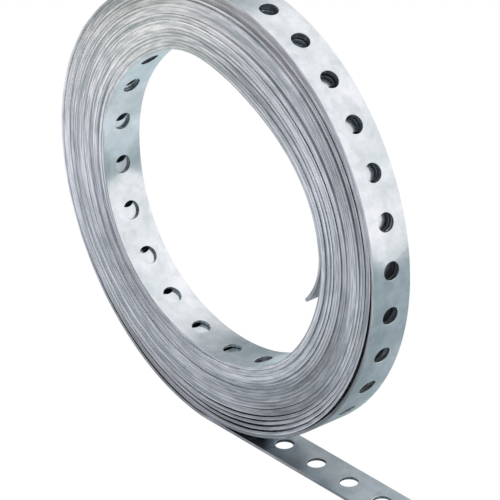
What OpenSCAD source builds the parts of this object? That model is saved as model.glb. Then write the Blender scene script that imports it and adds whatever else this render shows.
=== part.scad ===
// Roll of perforated steel fixing strap, standing on edge with its outer end drawn off along the floor.
// One strap: the wound turns are one turned solid, and the tail and the inner end run out of it.
// Origin: on the floor, under the roll's axis, at mid-width. +X along the tail, +Y along the axis, +Z up.
// Angles round the roll are measured from +X towards +Z.

/* [Strap] */
// Width of the strap
strap_w = 17; // [12:0.5:40]
// Thickness of the strap
strap_t = 1.2; // [0.6:0.1:2]
// Diameter of a punched hole
hole_d = 7; // [3:0.5:9]
// Distance from one hole to the next
hole_pitch = 18; // [12:0.5:40]

/* [Roll] */
// Diameter of the bore
bore_d = 121; // [80:1:240]
// Number of turns in the roll
turns = 20; // [6:1:36]
// Slack between one turn and the next
turn_gap = 0.19; // [0.15:0.01:0.8]
// Depth to which the slack opens on each end of the roll
gap_depth = 1.5; // [0.5:0.1:4]
// Most that a turn's edge stands proud or sunk
stagger = 0.35; // [0:0.05:0.4]
// Turns from one proud turn to the next
stagger_period = 2.6; // [2.2:0.1:6]

/* [Tail] */
// Number of holes in the straight tail that are clear of the roll
tail_holes = 12; // [2:1:30]
// Distance from under the axis to the first of them
first_hole_x = 28.5; // [20:0.5:60]
// Strap left beyond the last hole
end_margin = 9; // [5:0.5:30]

/* [Inner end] */
// Length of the inner end that springs clear of the bore's wall
tongue_l = 24; // [8:1:40]
// Radius that the inner end is curled to
tongue_r = 28; // [14:1:50]
// Angle where the inner end leaves the wall
tongue_angle = 8; // [-60:1:60]
// Distance from there, along the innermost turn, to its first hole
first_inner_hole = 7.5; // [6:0.5:30]

/* [Hidden] */
$fn = 180;

// Depth by which touching layers of the strap are pressed into each other, so that the roll is one solid
bite = 0.2 * strap_t;
// Angle, past the leftmost point, at which the outer wrap has sunk into the roll
wrap_end_angle = 165;
// Most degrees of arc between two points of an outline
arc_step = 3;
// How far a cut runs past the surface that it opens
cut_over = 2 * strap_t;

bore_r = bore_d / 2;
turn_step = strap_t + turn_gap;
roll_r = bore_r + turns * strap_t + (turns - 1) * turn_gap;
// The roll sits on the strap that leads out beneath it
roll_z = roll_r + strap_t - bite;
tail_l = first_hole_x + (tail_holes - 1) * hole_pitch + end_margin;

outer_hole_step = hole_pitch / roll_r * 180 / PI;
inner_hole_step = hole_pitch / bore_r * 180 / PI;
// The innermost turn's holes stop short of the wall that the curled end stands over
inner_hole_angle = tongue_angle + first_inner_hole / bore_r * 180 / PI;
inner_hole_run = 2 * PI * bore_r - tongue_l - first_inner_hole - hole_d;
// The hole pattern runs on from the tail, under the roll and round the outermost turn
holes_under_roll = floor(first_hole_x / hole_pitch);
outer_hole_angle = 270 + (first_hole_x - (holes_under_roll + 1) * hole_pitch) / roll_r * 180 / PI;
outer_holes = floor((360 - outer_hole_step) / outer_hole_step);
inner_holes = floor(inner_hole_run / hole_pitch) + 1;
// The turned solid's seam lies midway between two inner holes
seam_angle = inner_hole_angle + (inner_holes - 2.5) * inner_hole_step;

function turn_r(i) = bore_r + i * turn_step;
function turn_shift(i) = stagger * sin(i * 360 / stagger_period);

// Puts a shape drawn round Z onto the roll's axis, and turns it to an angle
module on_roll_axis(angle) {
  translate([0, 0, roll_z]) rotate([90, 0, 0]) rotate([0, 0, angle]) children();
}

// One edge of the wound strap in section: every turn's rim, with the slack sunk between rims
function rims(side) = [
  for (i = [0 : turns - 1])
    let (rim = side * strap_w / 2 + turn_shift(i),
         floor_z = side * (strap_w / 2 - stagger - gap_depth))
    each [
      if (i > 0) [turn_r(i), floor_z],
      [turn_r(i), rim],
      [turn_r(i) + strap_t, rim],
      if (i < turns - 1) [turn_r(i) + strap_t, floor_z]
    ]
];

function reversed(points) = [for (i = [len(points) - 1 : -1 : 0]) points[i]];

// All the turns, as one solid turned round the bore, with its seam between two holes
module wound_turns() {
  on_roll_axis(seam_angle) rotate_extrude() polygon(concat(rims(1), reversed(rims(-1))));
}

// Points along an arc round [x, z], from angle a to angle b
function arc(x, z, r, a, b) =
  let (n = max(2, ceil(abs(b - a) / arc_step)))
  [for (i = [0 : n]) let (c = a + (b - a) * i / n) [x + r * cos(c), z + r * sin(c)]];

// A run of strap whose edge has this outline in X and Z
module strap_run(outline) {
  rotate([90, 0, 0]) linear_extrude(strap_w, center = true) polygon(outline);
}

// The outermost wrap easing out of the roll and down to the floor, and the straight tail with its holes
module tail() {
  difference() {
    strap_run(concat(
      arc(0, roll_r, roll_r, wrap_end_angle, 270),
      [[tail_l, 0], [tail_l, strap_t]],
      arc(0, roll_r, roll_r - strap_t, 270, wrap_end_angle)
    ));
    for (k = [-holes_under_roll : tail_holes - 1])
      translate([first_hole_x + k * hole_pitch, 0, -cut_over])
        cylinder(d = hole_d, h = strap_t + 2 * cut_over);
  }
}

// The inner end of the strap, curled tighter than the bore and so standing off its wall
module tongue() {
  centre_r = bore_r + bite - tongue_r;
  x = centre_r * cos(tongue_angle);
  z = roll_z + centre_r * sin(tongue_angle);
  tip_angle = tongue_angle - tongue_l / tongue_r * 180 / PI;
  strap_run(concat(
    arc(x, z, tongue_r, tip_angle, tongue_angle),
    arc(x, z, tongue_r + strap_t, tongue_angle, tip_angle)
  ));
}

// A ring of radial holes, cut from radius start_r outwards through one layer of the roll
module ring_of_holes(start_r, first_angle, step, count) {
  for (k = [0 : count - 1])
    on_roll_axis(first_angle + k * step) translate([start_r, 0, 0]) rotate([0, 90, 0])
      cylinder(d = hole_d, h = strap_t + cut_over);
}

module strap() {
  color([0.66, 0.68, 0.7]) {
    difference() {
      union() {
        wound_turns();
        tail();
      }
      ring_of_holes(roll_r - strap_t, outer_hole_angle, -outer_hole_step, outer_holes);
      ring_of_holes(bore_r - cut_over, inner_hole_angle, inner_hole_step, inner_holes);
    }
    tongue();
  }
}

strap();
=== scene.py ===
import math
from bisect import bisect_right

import bmesh
import bpy
from mathutils import Matrix, Quaternion, Vector, noise


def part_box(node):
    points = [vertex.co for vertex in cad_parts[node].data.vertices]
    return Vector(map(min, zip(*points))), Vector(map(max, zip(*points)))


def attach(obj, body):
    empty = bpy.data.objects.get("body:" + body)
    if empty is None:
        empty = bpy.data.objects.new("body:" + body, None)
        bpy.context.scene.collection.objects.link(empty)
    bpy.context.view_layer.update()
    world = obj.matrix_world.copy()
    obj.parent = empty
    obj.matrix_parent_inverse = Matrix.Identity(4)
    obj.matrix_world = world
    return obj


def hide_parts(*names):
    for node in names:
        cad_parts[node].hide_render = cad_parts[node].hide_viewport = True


print("loading the frame")
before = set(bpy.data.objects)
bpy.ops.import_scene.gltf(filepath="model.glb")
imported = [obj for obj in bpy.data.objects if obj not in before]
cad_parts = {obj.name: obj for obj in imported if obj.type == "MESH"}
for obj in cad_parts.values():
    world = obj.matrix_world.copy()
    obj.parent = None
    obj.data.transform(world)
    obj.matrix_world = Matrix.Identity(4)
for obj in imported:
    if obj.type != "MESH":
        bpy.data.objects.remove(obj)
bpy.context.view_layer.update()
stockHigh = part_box("strap")[1]
mm = 0.001
tailLength = stockHigh.x
hairline = 1e-6              # metres within which two places count as one

# The strap runs from the tail's end along the floor, under the roll, up its left side and round,
# each turn inside the last. Angles go from +X towards +Z, and lengths here are in mm.
winding = {
    "thickness": 1.2,
    "turns": 20.734,         # up to where the inner end lifts off
    "rollRadius": 88.1,
    "rollWaves": [(2, 0.10, 1.09), (3, -0.32, 0.34), (4, 0.17, -0.34)],   # order, cosine part, sine part
    "boreRadius": 60.5,
    "boreWaves": [(1, -3.52, -0.05), (2, 1.04, -1.05), (3, 1.12, 0.35), (4, -0.38, 0.68)],
    "outerStep": (0.8, -0.55),   # the outermost turn's ends, off its mean radius
    "innerStep": (0.65, -0.65),
    "tailSamples": 40,
    "perTurn": 180,
    "curlSamples": 24,
    "tightest": 0.12,        # slack where the turns lie close, as a share
    "slackFloor": 0.05,      # how much of the uneven slack is pressed out again
    "slackSpot": (4.7, 1.3),
    "evenSpan": 60,          # degrees over which the slack changes
    "burr": 0.8,             # how much of the tightest slack the burrs on the slit edges take up
    "easing": 5,             # samples to each side in the smoothing
    "sway": 0.50,            # how far a turn's edge stands proud
    "swayWaves": [(420, (8.1, 2.2), 1.1), (95, (1.4, 6.6), 0.35)],   # length, spot in the noise, share
    "swayGrow": 200,         # strap from the roll's foot to the full sway
    "curlRadius": 28.0,
    "curlLength": 24.0,
    "openEnd": 100,          # what the last turn lacks of a whole one
}
# Places where a turn stands off the one outside it: turn, half its length in turns, gap
loosePlaces = [
    (1.08, 0.12, 0.45), (2.04, 0.10, 0.35),
    (1.80, 0.13, 1.45), (3.66, 0.20, 0.40),
    (2.94, 0.12, 0.75), (3.95, 0.12, 0.80), (4.96, 0.12, 0.75), (5.95, 0.11, 0.45),
    (7.93, 0.11, 0.30), (20.02, 0.07, 0.30),
]
# Places where the edge nearer the front has sunk: the same, and how far
sunkPlaces = [
    (0.66, 0.25, -0.25), (1.66, 0.22, 0.30), (2.66, 0.24, 0.60), (3.65, 0.24, 0.55), (4.64, 0.20, 0.40),
    (5.66, 0.25, -0.45), (6.70, 0.25, -0.30), (9.60, 0.25, 0.30), (10.60, 0.25, -0.30),
    (14.10, 0.30, 0.35), (16.20, 0.30, -0.35),
]


def waveRadius(angle, radius, waves):
    return radius + sum(c * math.cos(k * angle) + s * math.sin(k * angle) for k, c, s in waves)


def easeOff(distance, half):
    # 1 in the middle of a place, easing to 0 at its ends
    return 0.5 * (1 + math.cos(math.pi * distance / half)) if abs(distance) < half else 0.0


def easeIn(value, low, high):
    part = min(1.0, max(0.0, (value - low) / (high - low)))
    return part * part * (3 - 2 * part)


def easeAlong(value, places):
    # eases from one place's amount to the next one's, and keeps the last one's after it
    for (low, amountLow), (high, amountHigh) in zip(places, places[1:]):
        if low <= value < high:
            return amountLow + (amountHigh - amountLow) * easeIn(value, low, high)
    return places[-1][1]


def sumOfPlaces(turn, places):
    return sum(amount * easeOff(turn - centre, half) for centre, half, amount in places)


def windRadii():
    # centre-line radius at every sample, from the outside in,
    # and how thick the burred edges make the strap there
    w = winding
    perTurn, t = w["perTurn"], w["thickness"]
    count = int(w["turns"] * perTurn) + 1
    step = 360 / perTurn
    uneven = [noise.noise(Vector((i * step / w["evenSpan"], *w["slackSpot"]))) for i in range(count)]
    share = [w["tightest"] + max(0.0, amount - w["slackFloor"]) ** 2 for amount in uneven]
    slack = [sumOfPlaces(i / perTurn, loosePlaces) for i in range(count)]
    radii, burred = [0.0] * count, []
    for j in range(perTurn):
        angle = math.radians(270 - j * step)
        ray = list(range(j, count, perTurn))
        a, b = w["outerStep"]
        outer = waveRadius(angle, w["rollRadius"], w["rollWaves"]) + a + (b - a) * j / perTurn
        a, b = w["innerStep"]
        inside = (ray[-1] - (count - perTurn)) / perTurn
        inner = waveRadius(angle, w["boreRadius"], w["boreWaves"]) - a + (a - b) * (1 - inside)
        # what the turns leave free on this ray is shared out between them
        room = outer - inner - len(ray) * t - sum(slack[i] for i in ray[1:])
        unit = max(0.0, room) / sum(share[i] for i in ray[1:])
        burred.append(1 + w["burr"] * unit * w["tightest"] / t)
        radii[j] = outer - t / 2
        for i in ray[1:]:
            radii[i] = radii[i - perTurn] - t - unit * share[i] - slack[i]
    near = w["easing"]
    smooth = []
    for i in range(count):
        part = radii[max(0, i - near):i + near + 1]
        if i < near:
            part = [radii[0]] * (near - i) + part
        if i + near >= count:
            part = part[(i + near + 1 - count):]
        smooth.append(sum(part) / len(part))
    return smooth, burred


def layRoute():
    # points of the centre line with their headings, in metres
    w = winding
    t, perTurn, onTail, onCurl = w["thickness"], w["perTurn"], w["tailSamples"], w["curlSamples"]
    axisHeight = stockHigh.z / mm - w["rollRadius"]
    radii, burred = windRadii()
    points = [(tailLength / mm * (1 - k / onTail), t / 2) for k in range(onTail)]
    for i, r in enumerate(radii):
        angle = math.radians(270 - 360 * i / perTurn)
        lowest = t / 2 * burred[i % perTurn]
        points.append((r * math.cos(angle), max(lowest, axisHeight + r * math.sin(angle))))
    heading = math.atan2(points[-1][1] - points[-2][1], points[-1][0] - points[-2][0])
    stride = w["curlLength"] / onCurl
    for _ in range(onCurl):
        heading -= stride / w["curlRadius"]
        x, z = points[-1]
        points.append((x + stride * math.cos(heading), z + stride * math.sin(heading)))
    points = [Vector((x * mm, z * mm)) for x, z in points]
    lengths, headings = [0.0], []
    for a, b in zip(points, points[1:]):
        lengths.append(lengths[-1] + (b - a).length)
        raw = math.atan2(b.y - a.y, b.x - a.x)
        if headings:
            raw += 2 * math.pi * round((headings[-1] - raw) / (2 * math.pi))
        headings.append(raw)
    headings.append(headings[-1])
    # a heading belongs to the middle of its segment, so each point takes the mean of its two
    headings = [headings[0]] + [(a + b) / 2 for a, b in zip(headings, headings[1:])]
    thick = [1.0] * onTail + [burred[i % perTurn] for i in range(len(radii))] + [1.0] * onCurl
    return points, lengths, headings, thick


print("laying the route")
routePoints, routeLengths, routeHeadings, routeThick = layRoute()
routeLength = routeLengths[-1]
rollAxis = stockHigh.z - winding["rollRadius"] * mm


def placeOnRoute(along):
    along = min(max(along, 0.0), routeLength)
    i = min(bisect_right(routeLengths, along), len(routeLengths) - 1)
    part = (along - routeLengths[i - 1]) / (routeLengths[i] - routeLengths[i - 1])
    point = routePoints[i - 1].lerp(routePoints[i], part)
    heading = routeHeadings[i - 1] * (1 - part) + routeHeadings[i] * part
    thick = routeThick[i - 1] * (1 - part) + routeThick[i] * part
    return point, heading, thick


def alongFromTurn(turn):
    sample = winding["tailSamples"] + turn * winding["perTurn"]
    i, part = int(sample), sample % 1
    return routeLengths[i] + part * (routeLengths[i + 1] - routeLengths[i])


turnStarts = [alongFromTurn(k) for k in range(int(winding["turns"]) + 1)]
turnStarts.append(routeLength + winding["openEnd"] * mm)


def turnAt(along):
    k = max(0, bisect_right(turnStarts, along) - 1)
    return k + max(0.0, along - turnStarts[k]) / (turnStarts[k + 1] - turnStarts[k])


def swayAt(along):
    # how far the edges stand to one side there: none on the floor, uneven in the roll
    wound = (along - tailLength) / mm
    if wound < 0:
        return 0.0
    grow = min(1.0, wound / winding["swayGrow"])
    waves = sum(share * noise.noise(Vector((wound / length, *spot)))
                for length, spot, share in winding["swayWaves"])
    return mm * grow * (winding["sway"] * waves + sumOfPlaces(turnAt(along), sunkPlaces))


# Painted light and shade on the slit edges, with a warmer tint on one side, as shares, with lengths in
# metres
edgeLightShadeAndTint = {
    "mean": 0.815, "swing": 0.155, "brightSide": 120,   # painted light towards this bearing round the roll, painted shade opposite
    "loose": 0.55,           # painted shade on the tail and on the inner end
    "woundFrom": (-0.06, 0.04),      # from the roll's foot
    "curlFrom": (-0.035, -0.012),    # from the strap's inner end
    "warmSide": 120, "warmHalf": 80, "warmth": 0.09,
    # places painted darker and lighter as shade and light: bearing round the roll, turn, half the spread in
    # each, change
    "places": [
        (105, 0.7, 90, 4.5, -0.38), (246, 0.8, 46, 4.5, -0.44), (302, 1.5, 30, 3.5, 0.25),
        (318, 0.85, 40, 0.6, -0.60), (120, 5.5, 40, 4.0, -0.28), (195, 7.0, 30, 4.0, -0.15),
        (270, 7.0, 30, 4.0, 0.18), (300, 6.5, 38, 4.0, -0.38), (355, 6.5, 36, 4.0, 0.26),
        (30, 6.5, 34, 4.0, -0.28), (330, 11.5, 42, 4.5, -0.36), (68, 18, 40, 7, -0.22),
        (122, 18, 40, 10, 0.20), (222, 17, 46, 12, -0.30), (290, 19, 75, 9, 0.36),
        (5, 18, 44, 7, 0.30), (245, 12, 26, 4, 0.18), (76, 2.1, 44, 1.9, -0.33),
        (70, 3.6, 58, 0.62, -0.55), (72, 5.6, 34, 1.3, 0.30), (240, 1.5, 26, 1.8, -0.16),
        (30, 12.5, 26, 6, 0.07),
    ],
}
# Painted shade and light on the zinc, darker or brighter in places, as a share of its own colour
zincLightAndShade = {
    # along the tail, painted shade near the roll's foot and painted light further out: metres from under
    # the roll's axis, share
    "tail": [(0.0, 1.0), (0.022, 0.98), (0.034, 0.72), (0.056, 0.80), (0.070, 0.93), (0.085, 1.08),
             (0.11, 1.08), (0.14, 1.0)],
    "tailFade": 0.03,
    "turns": [(20.01, 0.09, -0.14)],     # painted shade low in the bore: turn, half the spread, change
    # painted shade on the curled inner end
    "curl": 0.46, "curlFrom": (-0.030, -0.018),
    # painted shade on the second turn's outer face, where the holes in the outer wall's shaded part show
    # it: starts, full and ends at these parts of a turn
    "covered": 0.35, "coveredPart": (0.725, 0.74, 0.95),
    # painted shade along the second turn's edges in the open slit: starts, full, starts to end and ends at
    # these turns
    "slit": 0.35, "slitTurns": (1.62, 1.72, 1.97, 2.02),
    "slitReach": 1.0, "rimReach": 0.5,   # mm in from an edge, and out from a hole's rim
}
# Walls of punched holes, painted lighter in some places and darker in others as light and shade: turn, half
# the spread, change
wallLightAndShade = [(0.868, 0.02, 1.6), (1.72, 0.18, -0.6), (20.04, 0.10, 1.5), (20.37, 0.13, -0.45)]


def degreesOff(bearing, centre):
    return (bearing - centre + 180) % 360 - 180


def edgeToneAt(along, spot):
    # painted light and shade on the slit edge there, in red, green and blue
    e = edgeLightShadeAndTint
    bearing = math.degrees(math.atan2(spot.y - rollAxis, spot.x))
    turn = turnAt(along)
    tone = e["mean"] + e["swing"] * math.cos(math.radians(bearing - e["brightSide"]))
    for centre, middleTurn, half, halfTurns, change in e["places"]:
        change *= easeOff(degreesOff(bearing, centre), half)
        tone *= 1 + change * easeOff(turn - middleTurn, halfTurns)
    wound = easeIn(along, *(tailLength + place for place in e["woundFrom"]))
    curled = easeIn(along, *(routeLength + place for place in e["curlFrom"]))
    tone = min(tone, e["loose"] + (1 - e["loose"]) * wound, 1 - (1 - e["loose"]) * curled)
    warm = e["warmth"] * easeOff(degreesOff(bearing, e["warmSide"]), e["warmHalf"]) * wound
    return tone, tone, tone * (1 - warm)


def zincToneAt(along, inSlit, covered):
    # painted shade and light on the zinc there; inSlit is for the outer face near the strap's edges,
    # covered for that face near a hole
    z = zincLightAndShade
    turn = turnAt(along)
    share = easeAlong(max(0.0, tailLength - along), z["tail"])
    share += (1 - share) * easeIn(along, tailLength, tailLength + z["tailFade"])
    share *= 1 + sumOfPlaces(turn, z["turns"])
    share *= 1 - (1 - z["curl"]) * easeIn(along, *(routeLength + place for place in z["curlFrom"]))
    start, full, end = z["coveredPart"]
    if covered and turn > 1 and turn % 1 < end:
        share *= 1 - (1 - z["covered"]) * easeIn(turn % 1, start, full)
    if inSlit:
        start, full, last, end = z["slitTurns"]
        share *= 1 - (1 - z["slit"]) * easeIn(turn, start, full) * (1 - easeIn(turn, last, end))
    return share


stock = {
    "width": 17.0,
    "holeDiameter": 7.0,
    "pitch": 18.0,
    "fineSides": (32, 14),   # sides of a hole, steps along the strap's edge
    "plainSides": (16, 6),
    "fineTurns": (2.2, 2.3), # turns made fine at the outside and the inside
    "weld": 0.05,
    "edgeRound": 0.07,
    "rimRound": 0.10,
    "sharpAngle": 28,
    "tailPitches": 12.5,     # from the tail's end, evenly spaced
    # turns in from the tail where a hole stands
    "holeTurns": (0.5415, 0.7028, 0.8351, 1.5405, 1.7028, 2.7160, 19.0624, 19.1990, 19.3280, 20.1870),
}
zincSlot, edgeSlot, wallSlot = range(3)   # in the order in which the materials are added


def flatCell(sides, steps):
    # one pitch of flat sheet round its hole, from a square stretched to size
    bm = bmesh.new()
    bmesh.ops.create_circle(bm, cap_ends=False, segments=4, radius=math.sqrt(0.5),
                            matrix=Matrix.Rotation(math.pi / 4, 4, "Z"))
    bmesh.ops.scale(bm, vec=(stock["pitch"] * mm, stock["width"] * mm, 1), verts=bm.verts)
    longEdges = [e for e in bm.edges if abs(e.verts[0].co.y - e.verts[1].co.y) < hairline]
    crossEdges = [e for e in bm.edges if e not in longEdges]
    bmesh.ops.subdivide_edges(bm, edges=longEdges, cuts=steps - 1)
    bmesh.ops.subdivide_edges(bm, edges=crossEdges, cuts=1)
    bmesh.ops.create_circle(bm, cap_ends=False, segments=sides, radius=stock["holeDiameter"] / 2 * mm)
    bmesh.ops.bridge_loops(bm, edges=bm.edges[:])
    bmesh.ops.recalc_face_normals(bm, faces=bm.faces)
    if bm.faces[:][0].normal.z < 0:
        bmesh.ops.reverse_faces(bm, faces=bm.faces)
    mesh = bpy.data.meshes.new("cell")
    bm.to_mesh(mesh)
    bm.free()
    return mesh


def spaceHoles():
    # the same places as pitches along the strap and as lengths along the route
    pitch = stock["pitch"] * mm
    pairs = [(0.0, 0.0), (stock["tailPitches"], stock["tailPitches"] * pitch)]
    for turn in stock["holeTurns"]:
        along = alongFromTurn(turn)
        pitches, last = pairs[-1]
        pairs.append((pitches + round((along - last) / pitch), along))
    return pairs


print("spacing the holes")
holeAnchors = spaceHoles()
lastPitch = holeAnchors[-1][0] + (routeLength - holeAnchors[-1][1]) / (stock["pitch"] * mm)
flatLength = lastPitch * stock["pitch"] * mm


def alongFromPitch(pitches):
    for (a, alongA), (b, alongB) in zip(holeAnchors, holeAnchors[1:]):
        if pitches <= b or (b, alongB) == holeAnchors[-1]:
            return alongA + (pitches - a) * (alongB - alongA) / (b - a)


def flatStrap():
    s = stock
    pitch = s["pitch"] * mm
    fine, plain = flatCell(*s["fineSides"]), flatCell(*s["plainSides"])
    fineOut = tailLength + s["fineTurns"][0] * 2 * math.pi * winding["rollRadius"] * mm
    fineIn = routeLength - s["fineTurns"][1] * 2 * math.pi * winding["boreRadius"] * mm
    bm = bmesh.new()
    for k in range(int(lastPitch + 1)):
        along = alongFromPitch(k + 0.5)
        mesh = fine if along < fineOut or along > fineIn else plain
        start = len(bm.verts)
        bm.from_mesh(mesh)
        bm.verts.ensure_lookup_table()
        bmesh.ops.translate(bm, vec=((k + 0.5) * pitch, 0, 0), verts=bm.verts[start:])
    bmesh.ops.remove_doubles(bm, verts=bm.verts, dist=s["weld"] * mm)
    bmesh.ops.bisect_plane(bm, geom=bm.verts[:] + bm.edges[:] + bm.faces[:], dist=hairline,
                           plane_co=(flatLength, 0, 0), plane_no=(1, 0, 0), clear_outer=True)
    for mesh in (fine, plain):
        bpy.data.meshes.remove(mesh)
    return bm, fineOut / pitch, fineIn / pitch


def thicken(bm):
    t = winding["thickness"] * mm
    top = bm.faces[:]
    bmesh.ops.translate(bm, vec=(0, 0, t / 2), verts=bm.verts)
    under = bmesh.ops.extrude_face_region(bm, geom=top, use_keep_orig=True)
    verts = [g for g in under["geom"] if isinstance(g, bmesh.types.BMVert)]
    faces = [g for g in under["geom"] if isinstance(g, bmesh.types.BMFace)]
    bmesh.ops.translate(bm, vec=(0, 0, -t), verts=verts)
    bmesh.ops.reverse_faces(bm, faces=faces)
    bmesh.ops.recalc_face_normals(bm, faces=bm.faces)


def roundEdges(bm, fineOut, fineIn):
    half = stock["width"] / 2 * mm - hairline
    pitch = stock["pitch"] * mm
    outlines, rims = [], []
    for edge in bm.edges:
        if len(edge.link_faces) != 2:
            continue
        n1, n2 = (f.normal for f in edge.link_faces)
        # only the corners between a flat side and an edge or a hole's wall
        if abs(n1.dot(n2)) > 0.5 or abs(n1.z) + abs(n2.z) < 0.5:
            continue
        y = sum(v.co.y for v in edge.verts) / 2
        x = sum(v.co.x for v in edge.verts) / 2
        if abs(y) > half:
            outlines.append(edge)
        elif x / pitch < fineOut or x / pitch > fineIn:
            rims.append(edge)
    for edges, size in ((outlines, stock["edgeRound"]), (rims, stock["rimRound"])):
        bmesh.ops.bevel(bm, geom=[e for e in edges if e.is_valid], offset=size * mm, offset_type="OFFSET",
                        affect="EDGES", segments=1, profile=0.5, material=-1, clamp_overlap=True)


def layOutFaces(bm):
    # the material and the layout of every face, while the strap is still flat
    half = stock["width"] / 2 * mm
    ends = min(v.co.x for v in bm.verts), max(v.co.x for v in bm.verts)
    layer = bm.loops.layers.uv.new("alongStrap")
    for face in bm.faces:
        face.smooth = True
        middle = face.calc_center_median()
        onEdge = abs(face.normal.y) > 0.6 and abs(middle.y) > half * 0.98   # with its rounding
        onEnd = min(abs(middle.x - x) for x in ends) < 0.1 * mm
        if onEdge or onEnd:
            face.material_index = edgeSlot
        elif abs(face.normal.z) < 0.5:
            face.material_index = wallSlot
        for loop in face.loops:
            co = loop.vert.co
            # an edge or a hole's wall is laid out by its own thickness, a flat side by the strap's width
            loop[layer].uv = (co.x, co.y) if face.material_index == zincSlot else (co.x, co.z)


def bendOntoRoute(bm):
    pitch = stock["pitch"] * mm
    # layers of painted light and shade for the edges, the zinc and the holes' walls
    edgeLayer = bm.verts.layers.float_color.new("edgeTone")
    zincLayer = bm.verts.layers.float.new("zincTone")
    wallLayer = bm.verts.layers.float.new("wallTone")
    slitFrom = (stock["width"] / 2 - zincLightAndShade["slitReach"]) * mm
    rimTo = (stock["holeDiameter"] / 2 + zincLightAndShade["rimReach"]) * mm
    rows = {}                # what the points of one row across the strap share
    for v in bm.verts:
        along = alongFromPitch(v.co.x / pitch)
        row = round(v.co.x, 7)   # to 0.0001 mm
        if row not in rows:
            point, heading, thick = placeOnRoute(along)
            outward = thick * Vector((-math.sin(heading), math.cos(heading)))
            wall = 1 + sumOfPlaces(turnAt(along), wallLightAndShade)
            rows[row] = point, outward, swayAt(along), (*edgeToneAt(along, point), 1), wall
        point, outward, sway, v[edgeLayer], v[wallLayer] = rows[row]
        outside, aside = v.co.z > 0, abs(v.co.y)
        inSlit, covered = outside and aside > slitFrom, outside and aside < rimTo
        v[zincLayer] = zincToneAt(along, inSlit, covered)
        spot = point + outward * v.co.z
        v.co = (spot.x, v.co.y + sway, spot.y)


def addObject(name, bm):
    mesh = bpy.data.meshes.new(name)
    bm.to_mesh(mesh)
    bm.free()
    piece = bpy.data.objects.new(name, mesh)
    bpy.context.scene.collection.objects.link(piece)
    return piece


def makeStrap():
    bm, fineOut, fineIn = flatStrap()
    thicken(bm)
    roundEdges(bm, fineOut, fineIn)
    layOutFaces(bm)
    bendOntoRoute(bm)
    piece = addObject("strap_coil", bm)
    piece.data.set_sharp_from_angle(angle=math.radians(stock["sharpAngle"]))
    return piece


print("winding the strap")
strap = makeStrap()
strap.data.calc_loop_triangles()
print("strap triangles", len(strap.data.loop_triangles), "length", round(routeLength, 3))


def newMaterial(name, metallic, roughness):
    material = bpy.data.materials.new(name)
    material.use_nodes = True
    nodes, links = material.node_tree.nodes, material.node_tree.links
    shader = nodes["Principled BSDF"]
    shader.inputs["Metallic"].default_value = metallic
    shader.inputs["Roughness"].default_value = roughness
    return material, nodes, links, shader


def strapLayout(nodes, links, stretch=None):
    # places along and across the strap, with a pattern drawn out lengthwise by the stretch
    uv = nodes.new("ShaderNodeUVMap")
    uv.uv_map = "alongStrap"
    if stretch is None:
        return uv.outputs["UV"]
    mapping = nodes.new("ShaderNodeMapping")
    mapping.inputs["Scale"].default_value = (1, stretch, 1)
    links.new(uv.outputs["UV"], mapping.inputs["Vector"])
    return mapping.outputs["Vector"]


def noiseNode(nodes, links, place, scale, detail=2, roughness=0.5):
    node = nodes.new("ShaderNodeTexNoise")
    for name, value in (("Scale", scale), ("Detail", detail), ("Roughness", roughness)):
        node.inputs[name].default_value = value
    links.new(place, node.inputs["Vector"])
    return node.outputs["Fac"]


def rangeNode(nodes, links, value, fromRange, toRange, shape="SMOOTHSTEP"):
    node = nodes.new("ShaderNodeMapRange")
    node.interpolation_type = shape
    for name, limit in zip(("From Min", "From Max", "To Min", "To Max"), (*fromRange, *toRange)):
        node.inputs[name].default_value = limit
    links.new(value, node.inputs["Value"])
    return node.outputs["Result"]


def rampNode(nodes, links, value, positions, colours):
    node = nodes.new("ShaderNodeValToRGB")
    stops = node.color_ramp.elements
    for position in positions[1:-1]:
        stops.new(position)
    for stop, position, colour in zip(stops, positions, colours):
        stop.position, stop.color = position, (*colour, 1)
    links.new(value, node.inputs["Fac"])
    return node.outputs["Color"]


def mathNode(nodes, links, operation, first, second):
    node = nodes.new("ShaderNodeMath")
    node.operation = operation
    links.new(first, node.inputs[0])
    if isinstance(second, (int, float)):
        node.inputs[1].default_value = second
    else:
        links.new(second, node.inputs[1])
    return node.outputs["Value"]


def vectorNode(nodes, links, operation, *vectors):
    node = nodes.new("ShaderNodeVectorMath")
    node.operation = operation
    for socket, vector in zip(node.inputs, vectors):
        links.new(vector, socket)
    return node


def toneNode(nodes, layer):
    # one of the mesh's own tone layers
    node = nodes.new("ShaderNodeAttribute")
    node.attribute_name = layer
    return node


def timesTone(nodes, links, colour, layer):
    tone = toneNode(nodes, layer).outputs["Color"]
    return vectorNode(nodes, links, "MULTIPLY", colour, tone).outputs["Vector"]


zinc = {
    "dull": (0.66, 0.71, 0.735), "bright": (0.91, 0.92, 0.96), "stops": (0.42, 0.76),
    "flowerScale": 330, "flowerSmooth": 0.35, "flowerShare": 0.15,
    "cloud": (70, 6, 0.62),      # scale, detail, roughness
    "roughness": (0.13, 0.26),
    "mattTones": (0.6, 1.0), "mattRoughness": (0.2, 0.0),   # where the zinc is painted darker, it is rougher too
    "bumpStrength": 0.25, "bumpDistance": 0.0002,
}


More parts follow.
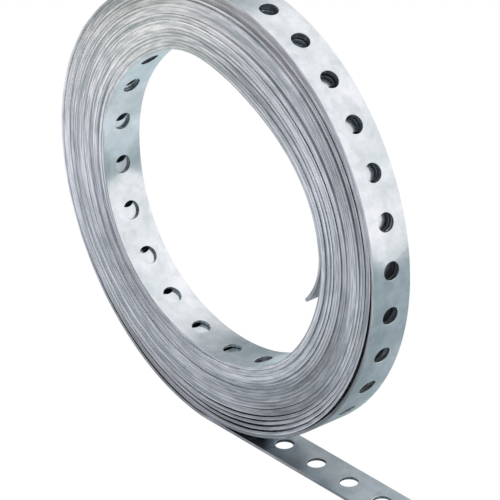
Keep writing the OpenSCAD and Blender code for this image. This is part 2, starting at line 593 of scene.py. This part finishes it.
def zincMaterial():
    material, nodes, links, shader = newMaterial("galvanised_zinc", 1.0, 0.5)
    place = strapLayout(nodes, links)
    flower = nodes.new("ShaderNodeTexVoronoi")
    flower.feature = "SMOOTH_F1"
    flower.inputs["Smoothness"].default_value = zinc["flowerSmooth"]
    flower.inputs["Scale"].default_value = zinc["flowerScale"]
    links.new(place, flower.inputs["Vector"])
    cell = nodes.new("ShaderNodeSeparateColor")
    links.new(flower.outputs["Color"], cell.inputs["Color"])
    both = nodes.new("ShaderNodeMath")
    both.operation = "MULTIPLY_ADD"
    both.inputs[1].default_value = zinc["flowerShare"]
    links.new(cell.outputs["Red"], both.inputs[0])
    links.new(noiseNode(nodes, links, place, *zinc["cloud"]), both.inputs[2])
    pattern = both.outputs["Value"]
    colour = rampNode(nodes, links, pattern, zinc["stops"], (zinc["dull"], zinc["bright"]))
    # the zincTone layer paints shade and light onto the zinc's colour
    links.new(timesTone(nodes, links, colour, "zincTone"), shader.inputs["Base Color"])
    rough = rangeNode(nodes, links, pattern, (0, 1), zinc["roughness"], "LINEAR")
    tone = toneNode(nodes, "zincTone").outputs["Fac"]
    matt = rangeNode(nodes, links, tone, zinc["mattTones"], zinc["mattRoughness"])
    links.new(mathNode(nodes, links, "ADD", rough, matt), shader.inputs["Roughness"])
    bump = nodes.new("ShaderNodeBump")
    bump.inputs["Strength"].default_value = zinc["bumpStrength"]
    bump.inputs["Distance"].default_value = zinc["bumpDistance"]
    links.new(pattern, bump.inputs["Height"])
    links.new(bump.outputs["Normal"], shader.inputs["Normal"])
    return material


slitEdge = {
    "dark": (0.43, 0.44, 0.465), "middle": (0.718, 0.672, 0.732), "light": (0.98, 0.92, 0.955),
    "stops": (0.34, 0.50, 0.66),
    "streak": (14, 6, 0.6), "streakStretch": 60,
    "tornFrom": -0.10, "tornTo": 0.25, "tornSwing": (-0.06, 0.06),   # across the thickness, in mm
    "dashScale": 110, "dashStretch": 7, "dashRange": (0.32, 0.68), "dashSwing": (-0.11, 0.07),
    "bandsRound": 1.7,       # how often the tone changes round the roll
    "bandsAcross": 170,      # and from turn to turn, per metre
    "bandDetail": 3, "bandRange": (0.30, 0.70), "bandSwing": (-0.105, 0.105), "bandSpot": (3.1, 1.7),
    "metallic": 0.6, "roughness": 0.5,
}


def bandsRoundRoll(nodes, links):
    # soft bands that follow the turns and fade in and out round the roll
    place = nodes.new("ShaderNodeTexCoord")
    centred = nodes.new("ShaderNodeMapping")
    centred.inputs["Location"].default_value = (0, 0, -rollAxis)
    centred.inputs["Scale"].default_value = (1, 0, 1)
    links.new(place.outputs["Object"], centred.inputs["Vector"])
    fromAxis = centred.outputs["Vector"]
    heading = vectorNode(nodes, links, "NORMALIZE", fromAxis).outputs["Vector"]
    around = vectorNode(nodes, links, "SCALE", heading)
    around.inputs["Scale"].default_value = slitEdge["bandsRound"]
    radius = vectorNode(nodes, links, "LENGTH", fromAxis).outputs["Value"]
    outward = nodes.new("ShaderNodeCombineXYZ")
    outward.inputs["X"].default_value, outward.inputs["Z"].default_value = slitEdge["bandSpot"]
    links.new(mathNode(nodes, links, "MULTIPLY", radius, slitEdge["bandsAcross"]), outward.inputs["Y"])
    spot = vectorNode(nodes, links, "ADD", around.outputs["Vector"], outward.outputs["Vector"])
    return noiseNode(nodes, links, spot.outputs["Vector"], 1, slitEdge["bandDetail"])


def edgeMaterial():
    # a slit edge: a burnished part and a torn part side by side, their tone changing along the strap
    e = slitEdge
    material, nodes, links, shader = newMaterial("slit_edge", e["metallic"], e["roughness"])
    streak = noiseNode(nodes, links, strapLayout(nodes, links, e["streakStretch"]), *e["streak"])
    part = nodes.new("ShaderNodeSeparateXYZ")
    links.new(strapLayout(nodes, links), part.inputs["Vector"])
    tornRange = e["tornFrom"] * mm, e["tornTo"] * mm
    torn = rangeNode(nodes, links, part.outputs["Y"], tornRange, e["tornSwing"])
    # short nicks and bright flecks
    dash = noiseNode(nodes, links, strapLayout(nodes, links, e["dashStretch"]), e["dashScale"])
    fleck = rangeNode(nodes, links, dash, e["dashRange"], e["dashSwing"])
    band = rangeNode(nodes, links, bandsRoundRoll(nodes, links), e["bandRange"], e["bandSwing"], "LINEAR")
    tone = streak
    for change in (torn, fleck, band):
        tone = mathNode(nodes, links, "ADD", tone, change)
    colour = rampNode(nodes, links, tone, e["stops"], (e["dark"], e["middle"], e["light"]))
    # the edgeTone layer paints shade and light onto the edge's colour
    links.new(timesTone(nodes, links, colour, "edgeTone"), shader.inputs["Base Color"])
    return material


# the holes' walls: bare steel, darker than the zinc, and darkened further as painted shade inside the holes
punchedWall = {
    "dark": (0.12, 0.13, 0.14), "light": (0.40, 0.42, 0.44), "stops": (0.35, 0.75),
    "grimeScale": 900, "metallic": 0.8, "roughness": 0.5,
}


def wallMaterial():
    p = punchedWall
    material, nodes, links, shader = newMaterial("punched_wall", p["metallic"], p["roughness"])
    grime = noiseNode(nodes, links, strapLayout(nodes, links), p["grimeScale"])
    colour = rampNode(nodes, links, grime, p["stops"], (p["dark"], p["light"]))
    # the wallTone layer paints light and shade onto the walls' colour
    links.new(timesTone(nodes, links, colour, "wallTone"), shader.inputs["Base Color"])
    return material


print("making the finishes")
strap.data.materials.append(zincMaterial())
strap.data.materials.append(edgeMaterial())
strap.data.materials.append(wallMaterial())
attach(strap, "root")
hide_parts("strap")

studio = {
    "floorRadius": 0.36, "floorCentre": (0.07, 0, -0.0002), "floorSides": 96,
    "floorColor": (0.53, 0.60, 0.62), "floorRoughness": 0.9,
    # painted light: a paler patch of floor behind the roll, which the inner wall reflects
    "paleColor": (0.88, 0.93, 0.94),
    "paleAt": (0.015, 0.088), "paleSize": (0.075, 0.048), "paleFade": (0.65, 1.15),
    "dark": (0.385, 0.435, 0.46), "bright": (1.02, 1.03, 1.04),
    "brightFrom": (65, 20),      # bearing and height of the middle of the bright side
    "brightStops": (0.42, 0.66),
}


def seenStraight(nodes, links, path):
    # 1 where the camera sees it, also through glass
    return mathNode(nodes, links, "ADD", path.outputs["Is Camera Ray"], path.outputs["Is Transmission Ray"])


def mixShaders(nodes, links, share, first, second, output):
    mix = nodes.new("ShaderNodeMixShader")
    for source, socket in zip((share, first, second), mix.inputs):
        links.new(source, socket)
    links.new(mix.outputs["Shader"], nodes[output].inputs["Surface"])


def addFloor():
    bm = bmesh.new()
    bmesh.ops.create_circle(bm, cap_ends=True, segments=studio["floorSides"], radius=studio["floorRadius"],
                            matrix=Matrix.Translation(studio["floorCentre"]))
    floor = addObject("floor", bm)
    material, nodes, links, shader = newMaterial("floor_white", 0.0, studio["floorRoughness"])
    place = nodes.new("ShaderNodeTexCoord")
    patch = nodes.new("ShaderNodeMapping")
    patch.vector_type = "TEXTURE"
    patch.inputs["Location"].default_value = (*studio["paleAt"], 0)
    patch.inputs["Scale"].default_value = (*studio["paleSize"], 1)
    links.new(place.outputs["Object"], patch.inputs["Vector"])
    away = vectorNode(nodes, links, "LENGTH", patch.outputs["Vector"]).outputs["Value"]
    spread = rangeNode(nodes, links, away, studio["paleFade"], (0, 1))
    colour = rampNode(nodes, links, spread, (0, 1), (studio["paleColor"], studio["floorColor"]))
    links.new(colour, shader.inputs["Base Color"])
    white = nodes.new("ShaderNodeEmission")
    seen = seenStraight(nodes, links, nodes.new("ShaderNodeLightPath"))
    mixShaders(nodes, links, seen, shader.outputs["BSDF"], white.outputs["Emission"], "Material Output")
    floor.data.materials.append(material)


def setWorld():
    world = bpy.data.worlds.new("studio")
    bpy.context.scene.world = world
    world.use_nodes = True
    nodes, links = world.node_tree.nodes, world.node_tree.links
    back = nodes["Background"]
    white = nodes.new("ShaderNodeBackground")
    white.inputs["Color"].default_value = (1, 1, 1, 1)
    bearing, height = (math.radians(a) for a in studio["brightFrom"])
    aim = (math.cos(bearing) * math.cos(height), math.sin(bearing) * math.cos(height), math.sin(height))
    where = nodes.new("ShaderNodeTexCoord")
    dot = vectorNode(nodes, links, "DOT_PRODUCT", where.outputs["Generated"])
    dot.inputs[1].default_value = aim
    towards = dot.outputs["Value"]
    colour = rampNode(nodes, links, towards, studio["brightStops"], (studio["dark"], studio["bright"]))
    links.new(colour, back.inputs["Color"])
    # the metal shows the white backdrop on the bright side, and the darker side of the room on the other
    path = nodes.new("ShaderNodeLightPath")
    bright = rangeNode(nodes, links, towards, studio["brightStops"], (0, 1), "LINEAR")
    glossy = mathNode(nodes, links, "MULTIPLY", path.outputs["Is Glossy Ray"], bright)
    share = mathNode(nodes, links, "ADD", seenStraight(nodes, links, path), glossy)
    mixShaders(nodes, links, share, back.outputs["Background"], white.outputs["Background"], "World Output")


lamp = {"place": (-0.24, -0.24, 0.34), "aim": (-0.05, 0.0, 0.14), "size": 0.16, "watts": 2.1}


def addLamp():
    light = bpy.data.lights.new("left", "AREA")
    light.shape, light.size, light.energy = "SQUARE", lamp["size"], lamp["watts"]
    fill = bpy.data.objects.new("left", light)
    fill.location = lamp["place"]
    fill.visible_glossy = False   # it fills, and leaves no glints on rims
    fill.rotation_mode = "QUATERNION"
    fill.rotation_quaternion = (Vector(lamp["aim"]) - Vector(lamp["place"])).to_track_quat("-Z", "Y")
    bpy.context.scene.collection.objects.link(fill)


print("setting the floor and the light")
addFloor()
setWorld()
addLamp()

view = {
    "bearing": 50.25, "height": 27.75, "roll": -0.81,
    "distance": 1582.4, "aim": (10.3, 0.0, 74.7),    # in mm
    "lens": 313.8, "sensor": 36, "clip": (0.05, 20),
}


def addCamera():
    bearing, height = math.radians(view["bearing"]), math.radians(view["height"])
    back = Vector((math.sin(bearing) * math.cos(height),
                   -math.cos(bearing) * math.cos(height),
                   math.sin(height)))
    data = bpy.data.cameras.new("camera")
    data.sensor_width, data.lens = view["sensor"], view["lens"]
    data.clip_start, data.clip_end = view["clip"]
    camera = bpy.data.objects.new("camera", data)
    camera.location = Vector(view["aim"]) * mm + back * view["distance"] * mm
    camera.rotation_mode = "QUATERNION"
    roll = Quaternion((0, 0, 1), math.radians(view["roll"]))
    camera.rotation_quaternion = (-back).to_track_quat("-Z", "Y") @ roll
    bpy.context.scene.collection.objects.link(camera)
    bpy.context.scene.camera = camera


print("placing the camera")
addCamera()
bpy.context.scene.view_settings.view_transform = "Standard"
